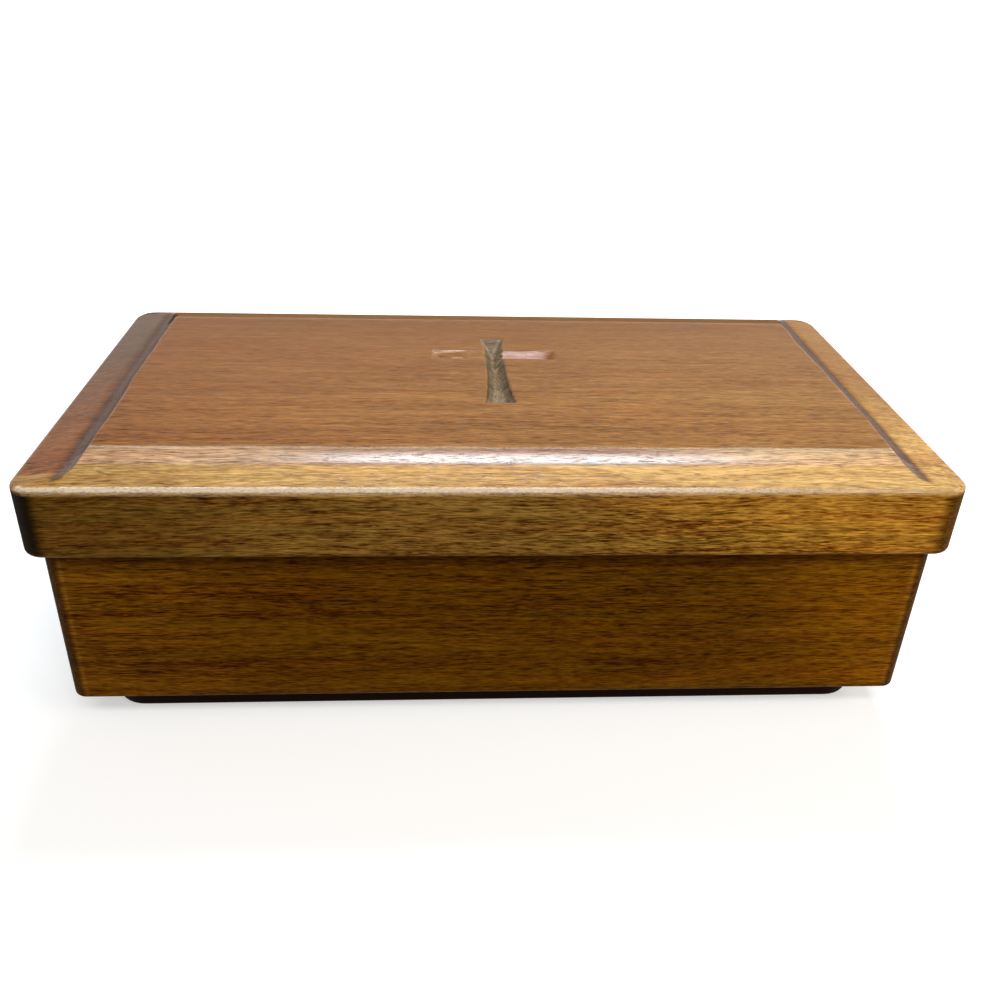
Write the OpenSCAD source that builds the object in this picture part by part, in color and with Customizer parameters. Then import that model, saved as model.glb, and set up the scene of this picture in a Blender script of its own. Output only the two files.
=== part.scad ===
// Wooden rosary box with a lift-off lid.
// The lid is one thick board: a raised field with a carved cross, rims at both ends that fall
// slightly outwards, a two-slope bevel along the front and a long single one along the back.
// The body is four mitred walls on a base board that is set in on all sides.
// Frame: origin at the middle of the base's underside, +X along the length, -Y is the front, +Z up.
// All sizes are in millimetres.

/* [Body] */
// Length of the body, outside the end walls
body_l = 184.4; // [150:0.2:230]
// Width of the body, outside the front and back walls
body_w = 95.4; // [80:0.2:130]
// Height of the walls
wall_h = 37.8; // [25:0.1:60]
// Thickness of the walls
wall_t = 12; // [10:0.5:14]
// Radius of the body's upright corners
wall_corner_r = 3; // [1:0.25:6]
// Size of the small flat that breaks the walls' lower and upper outer edges
wall_ease = 0.7; // [0.3:0.1:0.9]

/* [Base board] */
// Thickness of the base board
base_h = 7.5; // [5:0.5:12]
// How far the base board is set in from the walls' outer faces
base_inset = 6; // [3:0.5:8]
// Radius of the base board's corners
base_corner_r = 7; // [2:0.5:12]
// Radius along the base board's lower edge
base_edge_r = 1; // [0.4:0.1:1.6]

/* [Lid board] */
// How far the lid stands out past the walls, on every side
lid_overhang = 2.8; // [1:0.1:5]
// Height of the lid's outer edges, all round
lid_edge_h = 16; // [12:0.5:20]
// Radius of the lid's upright corners
lid_corner_r = 4.5; // [2.5:0.25:10]
// Radius along the lid's outer edges
lid_edge_r = 1.3; // [0.6:0.1:2]

/* [Raised field] */
// Rise of the field above the lid's edges
field_rise = 3.7; // [3.4:0.1:6]
// Run of the steep outer slope along the front
outer_slope_run = 5.1; // [3.5:0.1:8]
// Rise of the steep outer slope
outer_slope_rise = 2.65; // [1.5:0.05:3.2]
// Run of the gentle inner slope along the front, up to the field
inner_slope_run = 5.7; // [3:0.1:9]
// Run of the single slope along the back, up to the field
back_slope_run = 14; // [9:0.5:17]
// Rise of each end rim above the lid's edge, where it meets the cove
rim_rise = 0.7; // [0.2:0.1:1.2]
// Width of the rim at each end
rim_w = 8; // [5:0.25:12]
// Run of the hollow cove between an end rim and the field
cove_run = 5.4; // [4:0.1:9]

/* [Carved cross] */
// Length of the cross, foot to head
cross_l = 40.5; // [28:0.5:50]
// Length of the cross bar
cross_bar_l = 30.5; // [22:0.5:44]
// Distance from the middle of the bar to the head
cross_head_l = 11.5; // [8:0.5:14]
// Width of the arms at their waist
cross_arm_w = 4.7; // [3:0.1:6]
// Width of the head's flared end
cross_head_w = 6.4; // [6:0.1:9]
// Width of the foot's flared end
cross_foot_w = 7.4; // [6:0.1:10]
// Width of the bar's flared ends
cross_bar_end_w = 6.2; // [6:0.1:9]
// Depth of the V cut for each millimetre of half width
cross_slope = 0.9; // [0.5:0.05:1.1]
// Place of the cross to the right of the lid's middle
cross_x = 1.2; // [-10:0.1:10]
// Place of the cross's middle behind the lid's middle
cross_y = 2.7; // [-6:0.1:6]

/* [Lid battens] */
// Width of a batten under the lid
batten_w = 12; // [8:0.5:20]
// Height of a batten
batten_h = 5; // [3:0.5:9]
// Clearance between a batten and the walls
batten_gap = 0.5; // [0.3:0.1:1]
// Size of the flats along a batten's lower edges
batten_ease = 1; // [0.4:0.1:1.5]

/* [Felt lining] */
// Thickness of the felt on the floor
lining_t = 1.5; // [1:0.1:3]
// Clearance between the felt and the walls
lining_gap = 0.5; // [0.3:0.1:1.5]

/* [Hidden] */

$fn = 32;
// Thickness of the outlines that a hull joins
slice = 0.01;
// Facets round an edge, up a cove and along an arm of the cross
arc_steps = 4;
cove_steps = 6;
arm_steps = 6;
// Width of the level strip at the foot of each cove
cove_foot = 0.6;
// How late an arm of the cross flares: the power of its widening
flare_power = 3;
// How far the cross's cutters start above the field, and how far other cutters run past a face
cut_over = 0.4;
past = 2;

lid_wood = [0.64, 0.43, 0.27];
wall_wood = [0.42, 0.25, 0.07];
base_wood = [0.14, 0.06, 0.03];
batten_wood = [0.60, 0.42, 0.24];
felt_red = [0.36, 0.05, 0.09];

wall_top = base_h + wall_h;
inner_l = body_l - 2 * wall_t;
inner_w = body_w - 2 * wall_t;
base_l = body_l - 2 * base_inset;
base_w = body_w - 2 * base_inset;
lid_l = body_l + 2 * lid_overhang;
lid_w = body_w + 2 * lid_overhang;
rim_h = lid_edge_h + rim_rise;
field_h = lid_edge_h + field_rise;
batten_l = inner_w - 2 * batten_gap;
batten_x = inner_l / 2 - batten_gap - batten_w / 2;

// Radius and sweep of the cove, which starts level at the rim and steepens up to the field
cove_rise = field_h - rim_h;
cove_r = (cove_run * cove_run + cove_rise * cove_rise) / (2 * cove_rise);
cove_sweep = asin(cove_run / cove_r);

// Angles of the slopes that start at the lid's front and back edges
front_angle = atan(outer_slope_rise / outer_slope_run);
back_angle = atan(field_rise / back_slope_run);

// Plan outline with rounded corners
module rounded_plan(l, w, r) {
    corner_x = l / 2 - r;
    corner_y = w / 2 - r;
    square([l, 2 * corner_y], center = true);
    square([2 * corner_x, w], center = true);
    for (sx = [-1, 1], sy = [-1, 1]) {
        translate([sx * corner_x, sy * corner_y]) circle(r);
    }
}

// Pairs of inset and height that run round an edge of radius r, at the bottom and at the top
function bottom_levels(r) = [for (i = [0:arc_steps]) let (a = 90 * i / arc_steps)
    [r * (1 - sin(a)), r * (1 - cos(a))]];
function top_levels(r, h) = [for (i = [0:arc_steps]) let (a = 90 * i / arc_steps)
    [r * (1 - cos(a)), h - slice - r * (1 - sin(a))]];

// Block with rounded upright corners and rounded lower and upper edges
module rounded_board(l, w, h, corner_r, bottom_r, top_r) {
    hull() {
        for (level = concat(bottom_levels(bottom_r), top_levels(top_r, h))) {
            translate([0, 0, level[1]])
                linear_extrude(height = slice)
                    rounded_plan(l - 2 * level[0], w - 2 * level[0], corner_r - level[0]);
        }
    }
}

// Outside of the body: upright corners rounded, lower and upper edges broken by a small flat
module body_blank() {
    hull() {
        for (level = [[wall_ease, 0], [0, wall_ease], [0, wall_h - wall_ease - slice],
                      [wall_ease, wall_h - slice]]) {
            translate([0, 0, level[1]])
                linear_extrude(height = slice)
                    rounded_plan(body_l - 2 * level[0], body_w - 2 * level[0],
                                 wall_corner_r - level[0]);
        }
    }
}

// One wall, cut from the blank: a is half the blank across the wall's face, b half of it along
// the wall, and the 45 degree mitres run from the outer corners to the inner ones
module mitred_wall(turn, a, b) {
    translate([0, 0, base_h]) intersection() {
        difference() {
            body_blank();
            translate([-inner_l / 2, -inner_w / 2, -past]) cube([inner_l, inner_w, wall_h + 2 * past]);
        }
        translate([0, 0, -past]) linear_extrude(height = wall_h + 2 * past)
            rotate(turn)
                polygon([[-b - past, -a - past], [b + past, -a - past],
                         [b - wall_t, -a + wall_t], [-b + wall_t, -a + wall_t]]);
    }
}

module front_wall() { color(wall_wood) mitred_wall(0, body_w / 2, body_l / 2); }
module right_wall() { color(wall_wood) mitred_wall(90, body_l / 2, body_w / 2); }
module back_wall() { color(wall_wood) mitred_wall(180, body_w / 2, body_l / 2); }
module left_wall() { color(wall_wood) mitred_wall(270, body_l / 2, body_w / 2); }

module base_board() {
    color(base_wood) difference() {
        rounded_board(base_l, base_w, base_h + base_edge_r, base_corner_r, base_edge_r, slice);
        translate([-body_l / 2, -body_w / 2, base_h]) cube([body_l, body_w, base_edge_r + past]);
    }
}

module felt_lining() {
    color(felt_red)
        translate([-inner_l / 2 + lining_gap, -inner_w / 2 + lining_gap, base_h])
            cube([inner_l - 2 * lining_gap, inner_w - 2 * lining_gap, lining_t]);
}

// Outside of the lid up to its rims, which fall from the coves to the rounded outer edge
module lid_blank() {
    hull() {
        for (level = concat(bottom_levels(lid_edge_r), top_levels(lid_edge_r, lid_edge_h))) {
            translate([0, 0, level[1]])
                linear_extrude(height = slice)
                    rounded_plan(lid_l - 2 * level[0], lid_w - 2 * level[0], lid_corner_r - level[0]);
        }
        translate([0, 0, rim_h - slice])
            linear_extrude(height = slice)
                square([lid_l - 2 * (rim_w - cove_foot), lid_w - lid_edge_r], center = true);
    }
}

// Section across the length, from the left: rim level, cove, field, cove, rim level
function cove_points(side) = [for (i = [0:cove_steps]) let (t = cove_sweep * i / cove_steps)
    [side * (lid_l / 2 - rim_w - cove_r * sin(t)), rim_h + cove_r * (1 - cos(t))]];
function flipped(points) = [for (i = [len(points) - 1:-1:0]) points[i]];

module raised_field() {
    rotate([90, 0, 0]) linear_extrude(height = lid_w, center = true)
        polygon(concat([[-(lid_l / 2 - rim_w), past]], cove_points(-1),
                       flipped(cove_points(1)), [[lid_l / 2 - rim_w, past]]));
}

// Rounded edge of the lid's section, from the upright face into a slope at that angle
function edge_arc(side, angle) =
    let (centre_z = lid_edge_h - lid_edge_r * tan((90 - angle) / 2))
    [for (i = [0:arc_steps]) let (a = (90 - angle) * i / arc_steps)
        [side * (lid_w / 2 - lid_edge_r * (1 - cos(a))), centre_z + lid_edge_r * sin(a)]];

// Section across the width, from the front: rounded edge, outer slope, inner slope, field,
// back slope, rounded edge
module lid_section() {
    rotate([90, 0, 90]) linear_extrude(height = lid_l + past, center = true)
        polygon(concat([[-lid_w / 2, -past]], edge_arc(-1, front_angle),
                       [[outer_slope_run - lid_w / 2, lid_edge_h + outer_slope_rise],
                        [outer_slope_run + inner_slope_run - lid_w / 2, field_h],
                        [lid_w / 2 - back_slope_run, field_h]],
                       flipped(edge_arc(1, back_angle)), [[lid_w / 2, -past]]));
}

// V-cut arm of the cross along +Y. Its waist is cross_arm_w wide, it flares to end_w, and its
// valley forks to the two corners of its end, so that the end has a sloping facet of its own.
function arm_half(u, l, end_w) = cross_arm_w / 2
    + (end_w - cross_arm_w) / 2 * pow(max(0, u) / l, flare_power);
module cross_arm(l, end_w) {
    wider = cut_over / cross_slope;
    fork = l - end_w / 2;
    stations = [for (i = [0:arm_steps]) -cross_arm_w / 4 + (fork + cross_arm_w / 4) * i / arm_steps];
    ring_points = [for (u = stations) let (h = arm_half(u, l, end_w)) each
        [[-h - wider, u, cut_over], [h + wider, u, cut_over], [0, u, -h * cross_slope]]];
    tip = len(ring_points);
    last = tip - 3;
    sides = [for (i = [0:arm_steps - 1], j = [0:2]) let (p = 3 * i + j, q = 3 * i + (j + 1) % 3) each
        [[p, p + 3, q + 3], [p, q + 3, q]]];
    ends = [[0, 1, 2], [last, tip, last + 1], [last + 1, tip, tip + 1],
            [last + 1, tip + 1, last + 2], [last + 2, tip + 1, tip], [last, last + 2, tip]];
    polyhedron(points = concat(ring_points,
                   [[-end_w / 2 - wider, l + wider, cut_over], [end_w / 2 + wider, l + wider, cut_over]]),
               faces = concat(sides, ends));
}

module cross_cut() {
    foot_l = cross_l - cross_head_l;
    translate([cross_x, cross_y + cross_l / 2 - cross_head_l, field_h]) {
        cross_arm(cross_head_l, cross_head_w);
        rotate(180) cross_arm(foot_l, cross_foot_w);
        rotate(90) cross_arm(cross_bar_l / 2, cross_bar_end_w);
        rotate(270) cross_arm(cross_bar_l / 2, cross_bar_end_w);
    }
}

module lid_board() {
    color(lid_wood) translate([0, 0, wall_top]) difference() {
        intersection() {
            union() {
                lid_blank();
                raised_field();
            }
            lid_section();
        }
        cross_cut();
    }
}

// Batten across the grain, which keeps the lid flat and drops between the walls
module batten(x) {
    color(batten_wood) translate([x, 0, wall_top]) rotate([90, 0, 0])
        linear_extrude(height = batten_l, center = true)
            polygon([[-batten_w / 2, 0], [-batten_w / 2, batten_ease - batten_h],
                     [batten_ease - batten_w / 2, -batten_h], [batten_w / 2 - batten_ease, -batten_h],
                     [batten_w / 2, batten_ease - batten_h], [batten_w / 2, 0]]);
}

module lid_batten_left() { batten(-batten_x); }
module lid_batten_right() { batten(batten_x); }

lid_board();
lid_batten_left();
lid_batten_right();
front_wall();
back_wall();
left_wall();
right_wall();
base_board();
felt_lining();
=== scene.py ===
"""Wooden rosary box with a lift-off lid: the dressed pieces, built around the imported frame.

All lengths are in metres. Numbers in a material's coordinates are in millimetres, because its
object coordinates are first multiplied by 1000.
"""

import math
from types import SimpleNamespace

import bpy
import numpy as np
from mathutils import Matrix, Vector, noise


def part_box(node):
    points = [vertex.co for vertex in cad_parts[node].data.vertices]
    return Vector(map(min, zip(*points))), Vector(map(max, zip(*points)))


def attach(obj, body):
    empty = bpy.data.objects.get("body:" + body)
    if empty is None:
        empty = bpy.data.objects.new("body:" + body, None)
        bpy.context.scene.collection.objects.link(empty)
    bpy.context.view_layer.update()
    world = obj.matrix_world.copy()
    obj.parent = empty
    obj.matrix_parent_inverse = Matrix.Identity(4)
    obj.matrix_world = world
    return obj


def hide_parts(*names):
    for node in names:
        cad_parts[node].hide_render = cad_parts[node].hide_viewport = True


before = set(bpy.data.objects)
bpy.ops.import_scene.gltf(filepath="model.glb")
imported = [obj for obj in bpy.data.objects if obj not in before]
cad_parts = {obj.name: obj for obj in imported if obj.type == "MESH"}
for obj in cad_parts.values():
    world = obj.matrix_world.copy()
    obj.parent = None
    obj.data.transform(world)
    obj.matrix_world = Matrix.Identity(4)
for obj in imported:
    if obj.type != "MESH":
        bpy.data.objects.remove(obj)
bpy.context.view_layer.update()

MM = 0.001

# Corners of the nodes' boxes, which give each piece its size and place
LID_LOW, LID_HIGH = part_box("lid_board")
FRONT_LOW, FRONT_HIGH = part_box("front_wall")
RIGHT_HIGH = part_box("right_wall")[1]
BASE_LOW, BASE_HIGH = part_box("base_board")
FELT_LOW, FELT_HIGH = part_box("felt_lining")

# Lid board
LID_L = LID_HIGH.x - LID_LOW.x
LID_W = LID_HIGH.y - LID_LOW.y
LID_BOTTOM = LID_LOW.z
FIELD_Z = LID_HIGH.z
FIELD_RISE = 3.7 * MM
EDGE_Z = FIELD_Z - FIELD_RISE
OUTER_RUN = 5.1 * MM
OUTER_RISE = 2.65 * MM
INNER_RUN = 5.7 * MM
INNER_BOW = 0.6
FRONT_RUN = OUTER_RUN + INNER_RUN
BACK_RUN = 14 * MM
RIM_RISE = 0.7 * MM
RIM_Z = EDGE_Z + RIM_RISE
RIM_W = 8 * MM
COVE_FOOT = 0.6 * MM
COVE_RUN = 5.4 * MM
LID_CORNER_R = 4.5 * MM
LID_EDGE_R = 1.3 * MM

# Carved cross
BAR_X = 1.2 * MM
BAR_Y = 11.45 * MM
HEAD_L = 11.5 * MM
FOOT_L = 29 * MM
BAR_HALF_L = 15.25 * MM
ARM_W = 4.7 * MM
HEAD_END_W = 6.4 * MM
FOOT_END_W = 7.4 * MM
BAR_END_W = 6.2 * MM
FLARE_POWER = 3
# Slopes of the cuts' walls and of the ramp at the head's end
CUT_SLOPE = 0.9
HEAD_RAMP = 0.19
# The painted highlight on the right arm's facet fades out over this length, and the left arm has a small
# painted highlight spot
BAR_FADE = 5 * MM
GLINT_SPOT = (-9.2 * MM, 0.75 * MM)
GLINT_SPOT_HALF_L = 1.5 * MM
GLINT_SPOT_HALF_W = 0.4 * MM
# Pale lines in the upright: their two ends in mm from the middle of the crossing, and strength
PALE_LINES = (((-2.8, 10.5), (-0.35, 1.7), 0.85), ((-0.35, 1.7), (-0.35, -3.1), 0.7),
              ((1.8, 10.5), (-0.2, 3.8), 0.5), ((2.3, -1.2), (-0.35, -3.1), 0.9))

# Body
BODY_L = RIGHT_HIGH.x * 2
BODY_W = -FRONT_LOW.y * 2
WALL_T = FRONT_HIGH.y - FRONT_LOW.y
WALL_BOTTOM = FRONT_LOW.z
WALL_TOP = FRONT_HIGH.z
WALL_CORNER_R = 3 * MM
WALL_EASE_R = 0.9 * MM
BASE_CORNER_R = 7 * MM
BASE_EDGE_R = 1 * MM
BATTEN_CORNER_R = 0.6 * MM
BATTEN_EDGE_R = 0.8 * MM
SHARP_R = 0.05 * MM

# How softly the lid's surfaces meet
COVE_CREASE = 0.35 * MM
OUTER_CREASE = 0.2 * MM
FRONT_CREASE = 0.12 * MM
BACK_CREASE = 0.3 * MM
MITRE_CREASE = 0.3 * MM
CUT_CREASE = 0.12 * MM
# Slope at which the cove's curve runs on past the field's edge
FIELD_EDGE_SLOPE = 1.6

# Traces of hand work: uneven waves, as rate along the edge, size and phase, and marks in the cuts
WAVES = ((95, 1, 1), (211, 0.6, 2.3), (467, 0.35, 4.1))
COVE_WOBBLE = 0.2 * MM
SLOPE_WOBBLE = 0.05 * MM
CREASE_WOBBLE = 0.12 * MM
MARK_DEPTH = 0.05 * MM
MARK_RATE = 2600
MARK_DRIFT_RATE = 1900

# Facets round an upright corner and round an edge
CORNER_STEPS = 8
EDGE_STEPS = 5


# Meshes

def smooth_min(a, b, k):
    """The smaller of two numbers, with the corner between them rounded over about k."""
    h = np.maximum(k - np.abs(a - b), 0) / k
    return np.minimum(a, b) - h * h * k / 4


def fade(value, start, end):
    """0 up to start and 1 from end, with a smooth ramp between them."""
    t = np.clip((value - start) / (end - start), 0, 1)
    return t * t * (3 - 2 * t)


def steps(start, end, size):
    """Even steps of about that size from start up to end, without the end."""
    count = max(1, round((end - start) / size))
    return [start + (end - start) * i / count for i in range(count)]


def side_places(half, corner_r, size):
    """Even places along a straight side between two rounded corners, with both ends."""
    return steps(-half + corner_r, half - corner_r, size) + [half - corner_r]


def make_piece(name, verts, faces, crease=35):
    """A mesh object, smooth but for edges sharper than crease degrees."""
    mesh = bpy.data.meshes.new(name)
    mesh.from_pydata([tuple(v) for v in verts], [], faces)
    mesh.validate()
    mesh.shade_smooth()
    mesh.set_sharp_from_angle(angle=math.radians(crease))
    piece = bpy.data.objects.new(name, mesh)
    bpy.context.scene.collection.objects.link(piece)
    return piece


def outline(half_l, half_w, radius, inset, xs, ys, arc_steps):
    """Points round a rectangle with rounded corners, moved in by inset, from the front left.
    xs and ys are the places along the straight sides, from -(half - radius) to half - radius."""
    r = radius - inset
    points = []
    for side in range(4):
        along = [xs, ys, xs[::-1], ys[::-1]][side]
        for p in along:
            points.append([(p, -half_w + inset), (half_l - inset, p),
                           (p, half_w - inset), (-half_l + inset, p)][side])
        corner_x = (half_l - radius) * [1, 1, -1, -1][side]
        corner_y = (half_w - radius) * [-1, 1, 1, -1][side]
        for i in range(1, arc_steps):
            a = math.radians(-90 + 90 * side + 90 * i / arc_steps)
            points.append((corner_x + r * math.cos(a), corner_y + r * math.sin(a)))
    return points


def grid_faces(n_x, n_y):
    """Quads of a grid whose points run along x first."""
    return [(j * n_x + i, j * n_x + i + 1, (j + 1) * n_x + i + 1, (j + 1) * n_x + i)
            for j in range(n_y - 1) for i in range(n_x - 1)]


def grid_border(n_x, n_y, arc_steps):
    """The grid's border in the order of outline(), where a corner's arc shares one grid point."""
    front = list(range(n_x))
    right = [j * n_x + n_x - 1 for j in range(n_y)]
    back = [(n_y - 1) * n_x + i for i in range(n_x - 1, -1, -1)]
    left = [j * n_x for j in range(n_y - 1, -1, -1)]
    border = []
    for side in (front, right, back, left):
        border += side + [side[-1]] * (arc_steps - 1)
    return border


def band_faces(inner, outer):
    """Faces between two closed rings of point numbers, as triangles where inner points repeat."""
    faces = []
    for i in range(len(inner)):
        k = (i + 1) % len(inner)
        if inner[i] == inner[k]:
            faces.append((inner[i], outer[i], outer[k]))
        else:
            faces.append((inner[i], outer[i], outer[k], inner[k]))
    return faces


def rounded_levels(radius, steps_n, at_bottom):
    """Pairs of inset and height above or below an edge that run round it."""
    angles = [math.radians(90 * i / steps_n) for i in range(steps_n + 1)]
    if at_bottom:
        return [(radius * (1 - math.sin(a)), radius * (1 - math.cos(a))) for a in angles]
    return [(radius * (1 - math.cos(a)), -radius * (1 - math.sin(a))) for a in angles]


def board_piece(name, low, high, corner_r, bottom_r, top_r, step=4 * MM):
    """A board with rounded upright corners and rounded lower and upper edges."""
    half_l, half_w = (high.x - low.x) / 2, (high.y - low.y) / 2
    middle = (low + high) / 2
    xs, ys = side_places(half_l, corner_r, step), side_places(half_w, corner_r, step)
    levels = [(inset, low.z + rise) for inset, rise in rounded_levels(bottom_r, EDGE_STEPS, True)]
    levels += [(inset, high.z + drop) for inset, drop in rounded_levels(top_r, EDGE_STEPS, False)]
    verts = []
    for inset, z in levels:
        verts += [(middle.x + x, middle.y + y, z)
                  for x, y in outline(half_l, half_w, corner_r, inset, xs, ys, CORNER_STEPS)]
    count = len(verts) // len(levels)
    rings = [list(range(k * count, (k + 1) * count)) for k in range(len(levels))]
    faces = [tuple(rings[0][::-1])]
    for low_ring, high_ring in zip(rings, rings[1:]):
        faces += band_faces(high_ring, low_ring)
    faces.append(tuple(rings[-1]))
    return make_piece(name, verts, faces)


# Shape of the lid

def wobble(along, size, phase):
    """A slow, uneven wave along an edge worked by hand."""
    return size * sum(share * np.sin(along * rate + shift * phase) for rate, share, shift in WAVES)


def cove_profile(e):
    """Height along the length, by the distance e from the lid's end: rim, cove, field."""
    rise = FIELD_Z - RIM_Z
    cove_r = (COVE_RUN ** 2 + rise ** 2) / (2 * rise)
    rim_run = RIM_W - COVE_FOOT - LID_EDGE_R
    rim = EDGE_Z + RIM_RISE * np.clip((e - LID_EDGE_R) / rim_run, 0, 1)
    run = np.clip(e - RIM_W, 0, COVE_RUN)
    cove = cove_r - np.sqrt(cove_r ** 2 - run ** 2)
    past = np.maximum(e - RIM_W - COVE_RUN, 0)
    return smooth_min(rim + cove + past * FIELD_EDGE_SLOPE, FIELD_Z + 0 * e, COVE_CREASE)


def front_profile(e):
    """Height along the width, by the distance e from the lid's front: two slopes, field."""
    outer = EDGE_Z + e * OUTER_RISE / OUTER_RUN
    # The inner slope is a little rounded: it falls away faster towards the outer slope
    down = np.maximum(FRONT_RUN - e, -INNER_RUN) / INNER_RUN
    bowed = down * (1 - INNER_BOW) + INNER_BOW * down * np.abs(down)
    inner = FIELD_Z - (FIELD_RISE - OUTER_RISE) * bowed
    return smooth_min(smooth_min(outer, inner, OUTER_CREASE), FIELD_Z + 0 * e, FRONT_CREASE)


def back_profile(e):
    """Height along the width, by the distance e from the lid's back: one slope, field."""
    return smooth_min(EDGE_Z + e * FIELD_RISE / BACK_RUN, FIELD_Z + 0 * e, BACK_CREASE)


def end_height(x, y):
    """Height of the rim, cove and field over a place, as the nearer end has them."""
    e = LID_L / 2 - np.abs(x)
    near_cove = fade(e, 3 * MM, RIM_W)
    return cove_profile(e + near_cove * wobble(y, COVE_WOBBLE, np.sign(x) + 2))


def side_height(x, y):
    """Height of the front and back slopes and the field over a place."""
    inwards = wobble(x, SLOPE_WOBBLE, 1.3)
    front_in = LID_W / 2 + y
    front = front_profile(front_in + inwards * fade(front_in, 0, 3 * MM))
    return np.minimum(front, back_profile(LID_W / 2 - y))


def arm_walls(u, v, length, end_w, end_slope=CUT_SLOPE):
    """Depths of one V-cut arm's side walls and end facet at u along it and v across it. The cut
    is as deep as the smaller of them, and is nothing below zero."""
    half = ARM_W / 2 + (end_w - ARM_W) / 2 * (np.maximum(u, 0) / length) ** FLARE_POWER
    side = np.where(u < -ARM_W / 4, -1, CUT_SLOPE * (half - np.abs(v)))
    return side, end_slope * (length - u)


def cross_arms(x, y):
    """Side wall and end facet depths of the cross's head, foot, right and left arms. The head's
    end facet is a long, shallow ramp."""
    x, y = x - BAR_X, y - BAR_Y
    return (arm_walls(y, x, HEAD_L, HEAD_END_W, HEAD_RAMP), arm_walls(-y, x, FOOT_L, FOOT_END_W),
            arm_walls(x, y, BAR_HALF_L, BAR_END_W), arm_walls(-x, y, BAR_HALF_L, BAR_END_W))


def lid_top(x, y):
    """Height of the lid's upper side, without the rounding along its outer edge."""
    top = smooth_min(end_height(x, y), side_height(x, y), MITRE_CREASE)
    depth = np.max([np.minimum(side, end) for side, end in cross_arms(x, y)], axis=0)
    marks = MARK_DEPTH * np.sin(y * MARK_RATE + np.sin(x * MARK_DRIFT_RATE) * 1.5)
    marks = marks * fade(depth, 0, 0.6 * MM) * fade(depth, 0, 0.3 * MM)
    return top + smooth_min(-depth, 0 * depth, CUT_CREASE) + marks


def edge_drop(d, slope):
    """How far the rounded edge lies below a top that rises inwards at that slope, at inset d."""
    s = math.atan(slope)
    if d >= LID_EDGE_R * (1 - math.sin(s)):
        return 0
    tangent = LID_EDGE_R * math.tan((math.pi / 2 - s) / 2)
    return tangent + d * slope - math.sqrt(max(0, LID_EDGE_R ** 2 - (LID_EDGE_R - d) ** 2))


def lid_grid():
    """Places of the grid lines inside the corner radius, closer together where the top bends."""
    end_x, end_y = LID_L / 2 - LID_CORNER_R, LID_W / 2 - LID_CORNER_R
    fine, medium, coarse = 0.3 * MM, 1 * MM, 2.5 * MM
    cove_in = LID_L / 2 - RIM_W - COVE_RUN - 1 * MM
    cove_out = LID_L / 2 - RIM_W + 0.9 * MM
    cut_left, cut_right = BAR_X - BAR_HALF_L - 1 * MM, BAR_X + BAR_HALF_L + 1 * MM
    cut_front, cut_back = BAR_Y - FOOT_L - 1 * MM, BAR_Y + HEAD_L + 1 * MM
    front_in = -LID_W / 2 + FRONT_RUN + 0.6 * MM
    crease = LID_W / 2 - BACK_RUN
    x_stops = [(-end_x, medium), (-cove_out, fine), (-cove_in, coarse), (cut_left, fine), (BAR_X, fine),
               (cut_right, coarse), (cove_in, fine), (cove_out, medium), (end_x, None)]
    y_stops = [(-end_y, fine), (front_in, medium), (cut_front, fine), (BAR_Y, fine),
               (cut_back, medium), (crease - 0.8 * MM, fine), (crease + 0.8 * MM, medium), (end_y, None)]
    lines = []
    for stops in (x_stops, y_stops):
        places = []
        for (start, size), (end, _) in zip(stops, stops[1:]):
            places += steps(start, end, size)
        lines.append(places + [stops[-1][0]])
    return lines


def lid_rings():
    """Rings round the lid: those that follow the top have an inset and no height, and those down
    the sides have both."""
    rings = [(inset * MM, None) for inset in (3.9, 3.3, 2.7, 2.1, 1.6)]
    rings += [(LID_EDGE_R * (1 - math.cos(math.radians(a))), None) for a in range(90, -1, -9)]
    side_top = EDGE_Z - LID_EDGE_R - 0.5 * MM
    rings += [(0, z) for z in np.linspace(side_top, LID_BOTTOM + LID_EDGE_R, 8)]
    lower_edge = rounded_levels(LID_EDGE_R, 6, True)[::-1]
    return rings + [(inset, LID_BOTTOM + rise) for inset, rise in lower_edge[1:]]


def rounded_top_heights(outer, inner, inset, nudge):
    """Heights of a ring on the top's rounded edge, by the slope from there to a ring inside it."""
    top = lid_top(outer[:, 0], outer[:, 1])
    slopes = np.maximum(0, (lid_top(inner[:, 0], inner[:, 1]) - top) / nudge)
    return [t - edge_drop(inset, s) for t, s in zip(top, slopes)]


def lid_board():
    """The lid board: a grid of its top, rings over its rounded edge and sides, and its underside."""
    xs, ys = lid_grid()
    arc_steps = 10
    nudge = 0.05 * MM
    grid_x, grid_y = np.meshgrid(np.array(xs), np.array(ys))
    grid_z = lid_top(grid_x, grid_y)
    verts = list(zip(grid_x.ravel(), grid_y.ravel(), grid_z.ravel()))
    faces = grid_faces(len(xs), len(ys))
    last = grid_border(len(xs), len(ys), arc_steps)

    def ring_points(inset):
        return np.array(outline(LID_L / 2, LID_W / 2, LID_CORNER_R, inset, xs, ys, arc_steps))

    for inset, z in lid_rings():
        points = ring_points(inset)
        heights = [z] * len(points)
        if z is None:
            heights = rounded_top_heights(points, ring_points(inset + nudge), inset, nudge)
        ring = list(range(len(verts), len(verts) + len(points)))
        verts += [(p[0], p[1], h) for p, h in zip(points, heights)]
        faces += band_faces(last, ring)
        last = ring
    faces.append(tuple(last[::-1]))
    return make_piece("lid_board_carved", verts, faces, 60)


# Shapes of the body

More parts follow.
